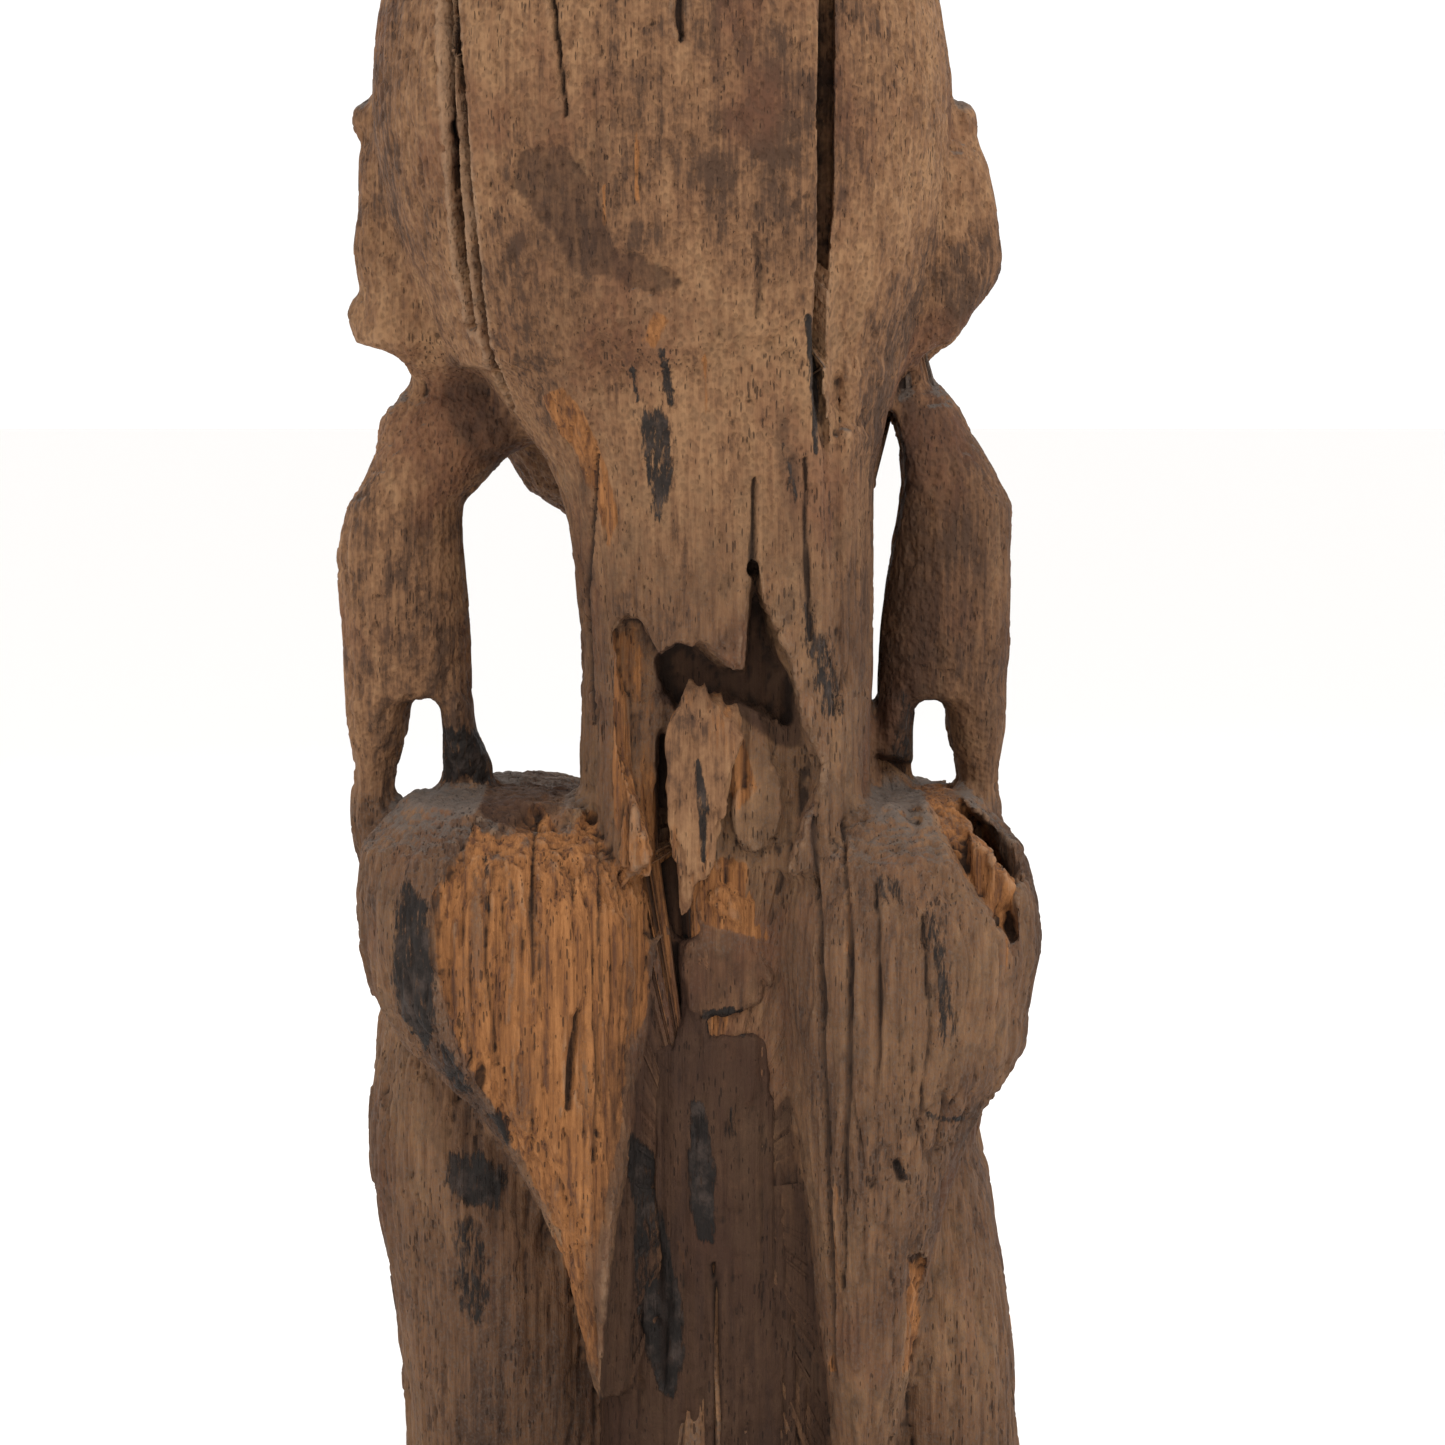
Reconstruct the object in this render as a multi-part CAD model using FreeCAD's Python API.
"""Squatting tiki figure carved from one hardwood log, as its separate carved members.

Row frame, millimetres: +Z up the log, the figure faces -Y and its own left side is +X.
The origin is the centre of the plinth's underside. The figure is one log, so every member is
bounded by its neighbours' surfaces: a member is shaped whole and is then trimmed by those before it.
"""
import FreeCAD, Part
import os
from math import cos, pi, sin

from FreeCAD import Vector

# ---- Driving dimensions: the stack of levels up the log --------------------------------------
LOG_RADIUS = 112.0          # the log, which the plinth keeps whole
PLINTH_HEIGHT = 36.0        # disc of uncut log under the feet
LEG_HEIGHT = 230.0          # plinth to the top of the thighs
TORSO_HEIGHT = 133.0        # top of the thighs to the shoulder line
HEAD_HEIGHT = 198.0         # shoulder line to the crown

HIP_Z = PLINTH_HEIGHT + LEG_HEIGHT
SHOULDER_Z = HIP_Z + TORSO_HEIGHT
CROWN_Z = SHOULDER_Z + HEAD_HEIGHT

# ---- Widths, depths and places of the members --------------------------------------------------
HEAD_HALF_WIDTH = 90.0
HEAD_HALF_DEPTH = 84.0
HEAD_SHIFT = 9.3            # the head sits to the figure's left of the log's axis
FACE_HALF_WIDTH = 62.0
FACE_DEPTH = 92.0           # front of the face to the back of the jaw
FACE_PROUD = 8.0            # how far the face stands forward of the head
JAW_DROP = 54.0             # chin below the shoulder line
TORSO_HALF_WIDTH = 45.5
TORSO_HALF_DEPTH = 55.0
TORSO_SHIFT = -11.0         # the trunk sits to the figure's right of the axis
BACK_SETBACK = 15.0         # the trunk's axis lies this far behind the log's
ARM_HALF_WIDTH = 19.5
ARM_HALF_DEPTH = 21.0
ARM_SETBACK = -4.0
LEFT_ARM_X = 90.5
RIGHT_ARM_X = -80.5
HAND_HEIGHT = 29.0          # knuckles above the thighs
LEFT_HIP_X = 104.0          # widest point of each hip, from the log's axis
RIGHT_HIP_X = -109.0
HAUNCH_BACK = 77.0          # rump behind the log's axis
HAUNCH_FRONT = -4.0         # flat face where the haunch meets the thigh
CALF_HALF_WIDTH = 38.0
LEFT_KNEE_X = 102.0         # outer side of each calf below the knee, and where it meets the plinth
RIGHT_KNEE_X = -93.0
LEFT_SHIN_X = 91.0
RIGHT_SHIN_X = -106.0
CALF_BACK = 42.0
KNEE_DROP = 44.0            # inside of the knee below the top of the thighs
CALF_HEIGHT = LEG_HEIGHT - KNEE_DROP
KNEE_FRONT = -90.0
THIGH_HALF_HEIGHT = 37.0
CORE_HALF_WIDTH = 50.0
CORE_FRONT = -42.0
CORE_BACK = 48.0
FOOT_HEIGHT = 32.0
FOOT_TOE = -98.0
FOOT_HALF_WIDTH = 25.0
FOOT_X = 42.0
EAR_HEIGHT = 88.0
EAR_HALF_DEPTH = 20.0

# ---- Weathering that goes right into the wood -------------------------------------------------
CHECK_WIDTH = 4.5           # a drying check's width at the surface
CHECK_DEPTH = 34.0
LEFT_CHECK_X = 69.0
RIGHT_CHECK_X = -41.0
ROT_DEPTH = 20.0            # hollow eaten into the back of the trunk
ROT_DROP = 77.0             # torn upper edge of the hollow below the shoulder line
SPLINTER_THICKNESS = 7.0
KNOT_RADIUS = 13.5
KNOT_DROP = 56.0            # knot below the top of the thighs
POCKET_RADIUS = 15.0        # hollow inside the right hip's outer shell

RING_POINTS = 14
RING_SPACING = 15.0         # a loft's rings lie about this far apart
SMALLEST_SOLID = 200.0      # chips below this volume, left by a trim, are thrown away
FAR = 4 * LOG_RADIUS
parts = {}


# ---- Shaping helpers -------------------------------------------------------------------------
def ring(centre, across, up, half_across, half_up, squareness):
    """Closed smooth section: a superellipse with the given half sizes along two directions."""
    points = []
    for i in range(RING_POINTS):
        angle = 2 * pi * i / RING_POINTS
        c, s = cos(angle), sin(angle)
        u = half_across * abs(c) ** (2 / squareness) * (1 if c >= 0 else -1)
        v = half_up * abs(s) ** (2 / squareness) * (1 if s >= 0 else -1)
        points.append(centre + across * u + up * v)
    curve = Part.BSplineCurve()
    curve.interpolate(points, PeriodicFlag=True)
    return Part.Wire([curve.toShape()])


def tangents(places, values):
    """Slopes of a smooth curve through the values that never swings past them."""
    steps = [(v1 - v0) / (t1 - t0)
             for t0, t1, v0, v1 in zip(places, places[1:], values, values[1:])]
    inner = [0.0 if a * b <= 0 else 2 * a * b / (a + b) for a, b in zip(steps, steps[1:])]
    return steps[:1] + inner + steps[-1:]


def even_stations(stations):
    """The same outline at evenly spaced stations, which a loft follows without bulging."""
    places = [s[0] for s in stations]
    columns = [list(c) for c in zip(*stations)][1:]
    slopes = [tangents(places, c) for c in columns]
    count = max(4, round(abs(places[-1] - places[0]) / RING_SPACING))
    made = []
    for i in range(count + 1):
        t = places[0] + (places[-1] - places[0]) * i / count
        forward = places[-1] > places[0]
        k = max(j for j in range(len(places) - 1)
                if j == 0 or (places[j] <= t if forward else places[j] >= t))
        span = places[k + 1] - places[k]
        u = (t - places[k]) / span
        row = [t]
        for c, m in zip(columns, slopes):
            row.append((2 * u ** 3 - 3 * u ** 2 + 1) * c[k] + (u ** 3 - 2 * u ** 2 + u) * span * m[k]
                       + (3 * u ** 2 - 2 * u ** 3) * c[k + 1] + (u ** 3 - u ** 2) * span * m[k + 1])
        made.append(row)
    return made


def column(stations, squareness=2.3):
    """Solid lofted up Z through stations of (z, one side, other side, front, back)."""
    x, y = Vector(1, 0, 0), Vector(0, 1, 0)
    rings = [ring(Vector((x0 + x1) / 2, (y0 + y1) / 2, z), x, y, abs(x1 - x0) / 2, abs(y1 - y0) / 2,
                  squareness) for z, x0, x1, y0, y1 in even_stations(stations)]
    return Part.makeLoft(rings, True, True)


def limb(stations, squareness=2.3):
    """Solid lofted along Y through stations of (y, one side, other side, bottom, top)."""
    x, z = Vector(1, 0, 0), Vector(0, 0, -1)
    rings = [ring(Vector((x0 + x1) / 2, y, (z0 + z1) / 2), x, z, abs(x1 - x0) / 2, abs(z1 - z0) / 2,
                  squareness) for y, x0, x1, z0, z1 in even_stations(stations)]
    return Part.makeLoft(rings, True, True)


def lump(x, y, z, rx, ry, rz):
    """Ellipsoid about a point."""
    stretch = FreeCAD.Matrix()
    stretch.scale(rx, ry, rz)
    ball = Part.makeSphere(1.0).transformGeometry(stretch)
    ball.translate(Vector(x, y, z))
    return ball


def block(x0, x1, y0, y1, z0, z1):
    """Box between two corners."""
    return Part.makeBox(x1 - x0, y1 - y0, z1 - z0, Vector(x0, y0, z0))


def outline_plate(points, y0, y1):
    """Plate whose outline in X and Z is the given points, from y0 to y1."""
    corners = [Vector(x, y0, z) for x, z in points]
    face = Part.Face(Part.makePolygon(corners + corners[:1]))
    return face.extrude(Vector(0, y1 - y0, 0))


def check_wedge(x, surface_y, z0, z1):
    """Drying check: a long wedge, as wide as the check at the surface and closed at its depth."""
    inner, outer = surface_y - CHECK_DEPTH, surface_y + CHECK_DEPTH
    corners = [Vector(x, inner, z0), Vector(x - CHECK_WIDTH, outer, z0), Vector(x + CHECK_WIDTH, outer, z0)]
    face = Part.Face(Part.makePolygon(corners + corners[:1]))
    return face.extrude(Vector(0, 0, z1 - z0))


def add(name, shape, *trims):
    """Keeps a member: trims it by its neighbours and stores what is left as its solids."""
    for neighbour in trims:
        tool = parts[neighbour] if isinstance(neighbour, str) else neighbour
        if tool.BoundBox.intersect(shape.BoundBox):
            shape = shape.cut(tool)
    solids = [s for s in shape.Solids if s.Volume > SMALLEST_SOLID]
    parts[name] = solids[0] if len(solids) == 1 else Part.makeCompound(solids)
    return parts[name]


# ---- Base, legs and seat ---------------------------------------------------------------------
def make_base():
    """Plinth, and the upright core of log that the figure squats against."""
    add("plinth", Part.makeCylinder(LOG_RADIUS, PLINTH_HEIGHT))
    w = CORE_HALF_WIDTH
    core = column([
        (PLINTH_HEIGHT, -17 - w, -17 + w, CORE_FRONT, CORE_BACK),
        (HIP_Z - 0.5 * LEG_HEIGHT, -14 - 0.94 * w, -14 + 0.94 * w, CORE_FRONT, CORE_BACK),
        (HIP_Z - 20, TORSO_SHIFT - 0.88 * w, TORSO_SHIFT + 0.88 * w, CORE_FRONT, CORE_BACK),
    ], squareness=3.0)
    add("seat_core", core)


def make_lower_leg(side, sign, shin, knee):
    """Calf standing on the plinth and leaning forward to the knee, and the foot before it."""
    base, w = PLINTH_HEIGHT, CALF_HALF_WIDTH
    h = CALF_HEIGHT
    calf = column([
        (base, shin, shin - sign * 1.8 * w, -50.0, 0.90 * CALF_BACK),
        (base + 0.35 * h, (2 * shin + knee) / 3, shin - sign * 1.85 * w, -58.0, CALF_BACK),
        (base + 0.65 * h, knee, knee - sign * 1.9 * w, -70.0, CALF_BACK),
        (base + 0.85 * h, knee - sign * 2, knee - sign * 1.9 * w, -80.0, 0.85 * CALF_BACK),
        (base + h, knee - sign * 14, knee - sign * 1.8 * w, -74.0, 0.6 * CALF_BACK),
    ], squareness=2.4)
    add(side + "_calf", calf, "seat_core")
    fx, fw, top = sign * FOOT_X, FOOT_HALF_WIDTH, base + FOOT_HEIGHT
    foot = limb([
        (-20.0, fx - 0.8 * fw, fx + 0.8 * fw, base, top + 10),
        (-50.0, fx - 0.9 * fw, fx + 0.9 * fw, base, top + 2),
        (0.8 * FOOT_TOE, fx - fw, fx + fw, base, top - 8),
        (FOOT_TOE, fx - 0.8 * fw, fx + 0.8 * fw, base, top - 14),
    ], squareness=2.8)
    add(side + "_foot", foot, side + "_calf", "seat_core", "plinth")


def make_haunches():
    """The two haunches: broad at the hips and drawn down to a point beside the seat."""
    top, back, front = HIP_Z, HAUNCH_BACK, HAUNCH_FRONT - 30
    low, hip = PLINTH_HEIGHT, LEFT_HIP_X
    behind = block(-FAR, FAR, HAUNCH_FRONT, FAR, 0, CROWN_Z)
    left = column([
        (low + 0.20 * LEG_HEIGHT, 29.0, 21.0, 20.0, back - 8),
        (low + 0.36 * LEG_HEIGHT, 0.36 * hip, 19.0, 12.0, back - 6),
        (low + 0.48 * LEG_HEIGHT, 0.47 * hip, 18.0, 4.0, back - 3),
        (low + 0.58 * LEG_HEIGHT, 0.62 * hip, 17.0, -6.0, back - 1),
        (low + 0.67 * LEG_HEIGHT, 0.84 * hip, 14.0, -18.0, back),
        (low + 0.75 * LEG_HEIGHT, 0.97 * hip, 9.0, front, back),
        (low + 0.87 * LEG_HEIGHT, hip, 7.0, front, back - 1),
        (low + 0.95 * LEG_HEIGHT, 0.98 * hip, 15.0, front, back - 6),
        (top, 0.86 * hip, 30.0, front, back - 22),
    ])
    add("left_haunch", left.common(behind), "seat_core", "left_calf")
    hip = RIGHT_HIP_X
    right = column([
        (low, 0.54 * hip, -44.0, 20.0, back - 14),
        (low + 0.18 * LEG_HEIGHT, 0.60 * hip, -41.0, 14.0, back - 9),
        (low + 0.37 * LEG_HEIGHT, 0.68 * hip, -37.0, 8.0, back - 6),
        (low + 0.50 * LEG_HEIGHT, 0.75 * hip, -33.0, 0.0, back - 3),
        (low + 0.60 * LEG_HEIGHT, 0.84 * hip, -29.0, -10.0, back - 1),
        (low + 0.70 * LEG_HEIGHT, 0.95 * hip, -26.0, front, back),
        (low + 0.81 * LEG_HEIGHT, hip, -24.0, front, back),
        (low + 0.90 * LEG_HEIGHT, 0.97 * hip, -24.0, front, back - 3),
        (low + 0.96 * LEG_HEIGHT, 0.91 * hip, -28.0, front, back - 8),
        (top, 0.80 * hip, -38.0, front, back - 24),
    ])
    r = POCKET_RADIUS
    pocket = lump(0.84 * hip, 0.55 * back, HIP_Z - 22, 0.6 * r, r, 1.5 * r)
    add("right_haunch", right.common(behind), pocket, "seat_core", "right_calf")


def make_thigh(side, hip):
    """Thigh running forward from the haunch and over the calf to the knee."""
    sign = 1 if hip > 0 else -1
    top, h = HIP_Z + 1, THIGH_HALF_HEIGHT
    thigh = limb([
        (HAUNCH_FRONT, 0.97 * hip, sign * 20, top - 2 * h, top),
        (HAUNCH_FRONT - 34, 0.93 * hip, sign * 20, top - 1.95 * h, top),
        (-66.0, 0.79 * hip, sign * 20, top - 1.8 * h, top - 3),
        (0.92 * KNEE_FRONT, 0.66 * hip, sign * 24, top - 1.6 * h, top - 8),
        (KNEE_FRONT, 0.56 * hip, sign * 32, top - 1.3 * h, top - 19),
    ])
    add(side + "_thigh", thigh, side + "_calf", "seat_core")


# ---- Trunk and head --------------------------------------------------------------------------
def make_torso():
    """Trunk, with the rotted hollow in its back and the long check down its right side."""
    w, x = TORSO_HALF_WIDTH, TORSO_SHIFT
    front, back = BACK_SETBACK - TORSO_HALF_DEPTH, BACK_SETBACK + TORSO_HALF_DEPTH
    low, h = HIP_Z - 20.0, TORSO_HEIGHT
    torso = column([
        (low, x - 0.98 * w, x + 0.98 * w, front + 4, back),
        (HIP_Z + 0.15 * h, x - 0.98 * w, x + 0.98 * w, front - 5, back),
        (HIP_Z + 0.40 * h, x - w, x + w, front - 6, back),
        (HIP_Z + 0.62 * h, x - w, x + 1.06 * w, front - 2, back),
        (HIP_Z + 0.76 * h, x - 1.01 * w, x + 1.16 * w, front - 4, back),
        (HIP_Z + 0.90 * h, x - 1.12 * w, x + 1.46 * w, front - 10, back),
        (SHOULDER_Z, x - 1.20 * w, x + 1.68 * w, front - 14, back + 1),
    ], squareness=2.6)
    torn_z = SHOULDER_Z - ROT_DROP
    rot = outline_plate([
        (x + 34, torn_z), (x + 26, torn_z + 2), (x + 20, torn_z - 12), (x + 8, torn_z - 5),
        (x - 2, torn_z - 14), (x - 8, torn_z - 13), (x - 10, torn_z + 12), (x - 20, torn_z - 14),
        (x - 26, torn_z - 50), (x - 14, low - 9), (x + 20, low - 9), (x + 30, torn_z - 40),
    ], back - ROT_DEPTH, back + 30)
    check = check_wedge(RIGHT_CHECK_X - 3, back - 6, HIP_Z + 34, SHOULDER_Z + 9)
    add("torso", torso, rot, check, "left_haunch", "right_haunch", "left_thigh", "right_thigh")


def make_head():
    """Head, split by its two long checks into a core and a stave on each side."""
    w, d, x = HEAD_HALF_WIDTH, HEAD_HALF_DEPTH, HEAD_SHIFT
    low, h = SHOULDER_Z, HEAD_HEIGHT
    outline = [(0.0, 0.86, 0.74, 0.86), (0.10, 0.91, 0.83, 0.93), (0.26, 0.98, 0.95, 0.98),
               (0.41, 1.0, 1.0, 1.0), (0.56, 0.97, 0.97, 0.98), (0.70, 0.90, 0.90, 0.91),
               (0.83, 0.75, 0.76, 0.77), (0.92, 0.56, 0.58, 0.59), (0.97, 0.38, 0.40, 0.41),
               (1.0, 0.14, 0.16, 0.16)]
    head = column([(low + t * h, x - right * w, x + left * w, -depth * d, depth * d)
                   for t, right, left, depth in outline], squareness=2.3)
    for check_x, share in ((LEFT_CHECK_X, 0.74), (RIGHT_CHECK_X, 0.86)):
        head = head.cut(check_wedge(check_x, share * d, low - 1, CROWN_Z + 1))
    left_side = block(LEFT_CHECK_X, FAR, 0, FAR, low - 5, CROWN_Z + 5)
    right_side = block(-FAR, RIGHT_CHECK_X, 0, FAR, low - 5, CROWN_Z + 5)
    add("head_left_stave", head.common(left_side))
    add("head_right_stave", head.common(right_side))
    add("head_core", head, left_side, right_side)


def make_face():
    """Face: a mask that hangs forward of the trunk, with brow, eyes, nose and lips."""
    w, x = FACE_HALF_WIDTH, HEAD_SHIFT - 4
    chin = SHOULDER_Z - JAW_DROP
    front = -HEAD_HALF_DEPTH - FACE_PROUD
    back = front + FACE_DEPTH
    mouth_z, eye_z = SHOULDER_Z - 8, SHOULDER_Z + 62
    face = column([
        (chin, x - 0.40 * w, x + 0.40 * w, front + 20, back - 30),
        (chin + 8, x - 0.66 * w, x + 0.66 * w, front + 8, back - 16),
        (chin + 20, x - 0.86 * w, x + 0.86 * w, front + 3, back - 6),
        (chin + 36, x - 0.97 * w, x + 0.97 * w, front + 1, back),
        (SHOULDER_Z + 10, x - 1.04 * w, x + 1.04 * w, front, back),
        (eye_z - 12, x - 1.06 * w, x + 1.06 * w, front + 4, back),
        (eye_z + 20, x - 1.02 * w, x + 1.02 * w, front + 2, back),
        (eye_z + 42, x - 0.86 * w, x + 0.86 * w, front + 12, back),
    ], squareness=2.5)
    nose = column([
        (mouth_z + 20, x - 18, x + 18, front - 8, front + 16),
        (mouth_z + 30, x - 19, x + 19, front - 11, front + 16),
        (mouth_z + 48, x - 12, x + 12, front - 8, front + 16),
        (eye_z + 12, x - 8, x + 8, front - 3, front + 16),
    ])
    brow = limb([
        (front + 22, x - 58, x + 58, eye_z + 9, eye_z + 31),
        (front + 4, x - 52, x + 52, eye_z + 11, eye_z + 29),
        (front - 5, x - 40, x + 40, eye_z + 15, eye_z + 25),
    ], squareness=2.8)
    features = [nose, brow]
    features += [lump(eye_x, front + 7, eye_z - 2, 17, 11, 8.5) for eye_x in (x - 31, x + 31)]
    features += [lump(x, front + 3, lip_z, 33, 10, 5.5) for lip_z in (mouth_z + 5, mouth_z - 6)]
    for feature in features:
        face = face.fuse(feature)
    add("face", face, "head_core", "head_left_stave", "head_right_stave", "torso")


def make_ears():
    """Long ears on the sides of the head, each with a knob above and a heavy lobe below."""
    low, h, d = SHOULDER_Z - 7, EAR_HEIGHT, EAR_HALF_DEPTH
    head = ("head_left_stave", "head_right_stave", "head_core", "face", "torso")
    left = column([
        (low, 82.0, 56.0, -4.0, 10.0),
        (low + 0.11 * h, 101.0, 50.0, 4 - 0.8 * d, 4 + 0.8 * d),
        (low + 0.20 * h, 108.0, 50.0, 4 - d, 4 + d),
        (low + 0.32 * h, 103.0, 50.0, 4 - 0.96 * d, 4 + 0.96 * d),
        (low + 0.42 * h, 107.0, 50.0, 4 - d, 4 + d),
        (low + 0.62 * h, 105.0, 50.0, 4 - d, 4 + d),
        (low + 0.80 * h, 104.0, 50.0, 4 - 0.9 * d, 4 + 0.9 * d),
        (low + 0.90 * h, 107.0, 60.0, 4 - 0.7 * d, 4 + 0.7 * d),
        (low + h, 100.0, 76.0, -4.0, 12.0),
    ])
    add("left_ear", left, *head)
    right = column([
        (low, -72.0, -48.0, -4.0, 8.0),
        (low + 0.10 * h, -87.0, -44.0, 3 - 0.8 * d, 3 + 0.8 * d),
        (low + 0.24 * h, -94.0, -44.0, 3 - d, 3 + d),
        (low + 0.40 * h, -98.5, -44.0, 3 - d, 3 + d),
        (low + 0.60 * h, -97.0, -44.0, 3 - d, 3 + d),
        (low + 0.78 * h, -93.0, -44.0, 3 - 0.9 * d, 3 + 0.9 * d),
        (low + 0.88 * h, -91.0, -50.0, 3 - 0.7 * d, 3 + 0.7 * d),
        (low + 0.96 * h, -86.0, -62.0, -3.0, 10.0),
    ])
    add("right_ear", right, *head)


# ---- Arms and hands --------------------------------------------------------------------------
def make_arm(side, sign, x):
    """One arm: upper arm from the shoulder to the elbow, forearm, and a hand of two digits."""
    w, d, y = ARM_HALF_WIDTH, ARM_HALF_DEPTH, ARM_SETBACK
    root_x = TORSO_SHIFT + sign * 0.8 * TORSO_HALF_WIDTH
    shoulder, elbow = SHOULDER_Z + 3, SHOULDER_Z - 48
    wrist = HIP_Z + HAND_HEIGHT
    arm = column([
        (wrist, x + sign * w, x - sign * 1.06 * w, y - 0.85 * d, y + 0.85 * d),
        (wrist + 14, x + sign * 1.03 * w, x - sign * 1.04 * w, y - 0.95 * d, y + 0.95 * d),
        (elbow, x + sign * 1.05 * w, x - sign * 0.92 * w, y - d, y + d),
        (elbow + 16, x + sign * 0.70 * w, x - sign * 1.10 * w, y - d, y + d),
        (elbow + 30, x + sign * 0.38 * w, root_x, y - 0.95 * d, y + 0.95 * d),
        (elbow + 42, x + sign * 0.02 * w, root_x, y - 0.8 * d, y + 0.8 * d),
        (shoulder, x - sign * 0.35 * w, root_x, y - 0.5 * d, y + 0.5 * d),
    ], squareness=2.4)
    trunk = ("torso", "head_core", "head_left_stave", "head_right_stave", "face", side + "_ear")
    above = block(-FAR, FAR, -FAR, FAR, elbow, CROWN_Z)
    add(side + "_upper_arm", arm.common(above), *trunk)
    add(side + "_forearm", arm.cut(above), *trunk)

    seats = (side + "_thigh", side + "_haunch", "torso")
    fingers = column([
        (HIP_Z - 18, x + sign * 0.92 * w, x + sign * 0.30 * w, y - 0.45 * d, y + 0.45 * d),
        (HIP_Z + 0.30 * HAND_HEIGHT, x + sign * 0.88 * w, x + sign * 0.18 * w, y - 0.6 * d, y + 0.6 * d),
        (wrist - 10, x + sign * 0.98 * w, x + sign * 0.02 * w, y - 0.75 * d, y + 0.75 * d),
        (wrist, x + sign * w, x - sign * 0.02 * w, y - 0.85 * d, y + 0.85 * d),
    ])
    add(side + "_fingers", fingers, *seats)
    thumb = column([
        (HIP_Z - 10, x - sign * 0.50 * w, x - sign * 1.40 * w, y - 0.45 * d, y + 0.45 * d),
        (HIP_Z + 0.30 * HAND_HEIGHT, x - sign * 0.55 * w, x - sign * 1.36 * w, y - 0.55 * d, y + 0.55 * d),
        (wrist - 10, x - sign * 0.56 * w, x - sign * 1.14 * w, y - 0.7 * d, y + 0.7 * d),
        (wrist, x - sign * 0.50 * w, x - sign * 1.06 * w, y - 0.8 * d, y + 0.8 * d),
    ])
    add(side + "_thumb", thumb, *seats)


# ---- Weathered details that stand by themselves ------------------------------------------------
def make_details():
    """Loose splinter in the rotted hollow, and the hard branch knot left standing in the seat."""
    floor_y = BACK_SETBACK + TORSO_HALF_DEPTH - ROT_DEPTH
    x, top = TORSO_SHIFT, SHOULDER_Z - ROT_DROP - 22.0
    splinter = outline_plate([
        (x + 18, top), (x + 6, top + 4), (x - 6, top - 10), (x - 4, top - 32),
        (x + 4, top - 56), (x + 11, top - 54), (x + 14, top - 28),
    ], floor_y, floor_y + SPLINTER_THICKNESS)
    trunk = ("torso", "left_haunch", "right_haunch", "seat_core")
    add("back_splinter", splinter, *trunk)
    knot = lump(TORSO_SHIFT + 0.5, CORE_BACK, HIP_Z - KNOT_DROP, KNOT_RADIUS, KNOT_RADIUS, 0.9 * KNOT_RADIUS)
    add("branch_knot", knot, *trunk)


def main():
    """Builds every member in the order in which they trim each other, and writes the files."""
    make_base()
    make_lower_leg("left", 1, LEFT_SHIN_X, LEFT_KNEE_X)
    make_lower_leg("right", -1, RIGHT_SHIN_X, RIGHT_KNEE_X)
    make_haunches()
    make_thigh("left", LEFT_HIP_X)
    make_thigh("right", RIGHT_HIP_X)
    make_torso()
    make_head()
    make_face()
    make_ears()
    make_arm("left", 1, LEFT_ARM_X)
    make_arm("right", -1, RIGHT_ARM_X)
    make_details()
    os.makedirs("parts", exist_ok=True)
    for name, shape in parts.items():
        shape.exportStep("parts/" + name + ".step")
        print(f"{name:18s} solids {len(shape.Solids)} valid {shape.isValid()} volume {shape.Volume:.0f}")


main()
